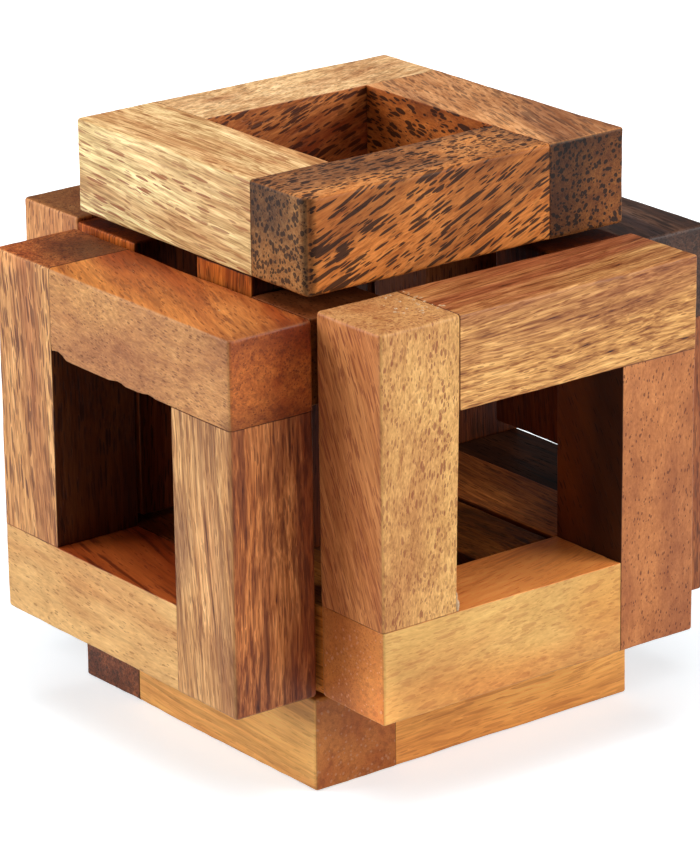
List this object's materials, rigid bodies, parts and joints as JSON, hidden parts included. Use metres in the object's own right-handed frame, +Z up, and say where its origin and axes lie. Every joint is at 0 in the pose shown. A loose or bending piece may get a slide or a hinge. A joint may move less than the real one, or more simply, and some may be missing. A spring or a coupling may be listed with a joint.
{
  "type": "burr puzzle",
  "caption": "Wooden take-apart cube of square window frames that slide apart around a hollow core, with the top frame as the key.",
  "frame": {"origin": "on the resting plane, under the middle of the puzzle", "axes": "+Z up, towards the key frame; the front frame faces -Y, the left frame -X, the right frame +X and the back frame +Y"},
  "size_m": [0.0788, 0.0789, 0.0792],
  "materials": {
    "cream_wood": "oiled, satin, pale sapwood with brown flecks",
    "honey_wood": "oiled, satin, golden orange",
    "tan_wood": "oiled, satin, tan with brown flecks",
    "pinkish_wood": "oiled, satin, pinkish brown",
    "chestnut_wood": "oiled, satin, reddish brown",
    "striped_wood": "oiled, satin, orange brown with dark streaks",
    "umber_wood": "oiled, satin, dark brown",
    "charcoal_wood": "oiled, satin, nearly black brown"
  },
  "bodies": {
    "bottom_frame": {"bottom_left_rail": "honey_wood", "bottom_front_rail": "honey_wood", "bottom_right_rail": "chestnut_wood", "bottom_back_rail": "umber_wood", "bottom_long_bar": "umber_wood", "bottom_short_bar": "pinkish_wood"},
    "front_frame": {"front_left_upright": "honey_wood", "front_top_rail": "striped_wood", "front_right_upright": "pinkish_wood", "front_bottom_rail": "honey_wood", "front_upper_bar": "chestnut_wood", "front_lower_bar": "honey_wood"},
    "left_frame": {"left_left_upright": "tan_wood", "left_top_rail": "pinkish_wood", "left_right_upright": "tan_wood", "left_bottom_rail": "cream_wood", "left_upper_block": "pinkish_wood", "left_lower_bar": "chestnut_wood"},
    "back_frame": {"back_left_upright": "tan_wood", "back_top_rail": "striped_wood", "back_right_upright": "pinkish_wood", "back_bottom_rail": "chestnut_wood", "back_upper_bar": "chestnut_wood", "back_lower_bar": "striped_wood"},
    "right_frame": {"right_left_upright": "chestnut_wood", "right_top_rail": "charcoal_wood", "right_right_upright": "umber_wood", "right_bottom_rail": "charcoal_wood", "right_upper_bar": "umber_wood"},
    "top_frame": {"top_left_rail": "cream_wood", "top_back_rail": "honey_wood", "top_right_rail": "umber_wood", "top_front_rail": "striped_wood", "top_long_leg": "chestnut_wood", "top_short_leg": "pinkish_wood"}
  },
  "joints": [
    {"name": "top_frame_slide", "type": "slide", "parent": "bottom_frame", "child": "top_frame", "axis": [0, 0, 1], "range_m": [0, 0.044]},
    {"name": "front_frame_slide", "type": "slide", "parent": "bottom_frame", "child": "front_frame", "axis": [0, -1, 0], "range_m": [0, 0.03]},
    {"name": "left_frame_slide", "type": "slide", "parent": "bottom_frame", "child": "left_frame", "axis": [-1, 0, 0], "range_m": [0, 0.017]},
    {"name": "back_frame_slide", "type": "slide", "parent": "bottom_frame", "child": "back_frame", "axis": [0, 1, 0], "range_m": [0, 0.017]},
    {"name": "right_frame_slide", "type": "slide", "parent": "bottom_frame", "child": "right_frame", "axis": [1, 0, 0], "range_m": [0, 0.017]}
  ]
}
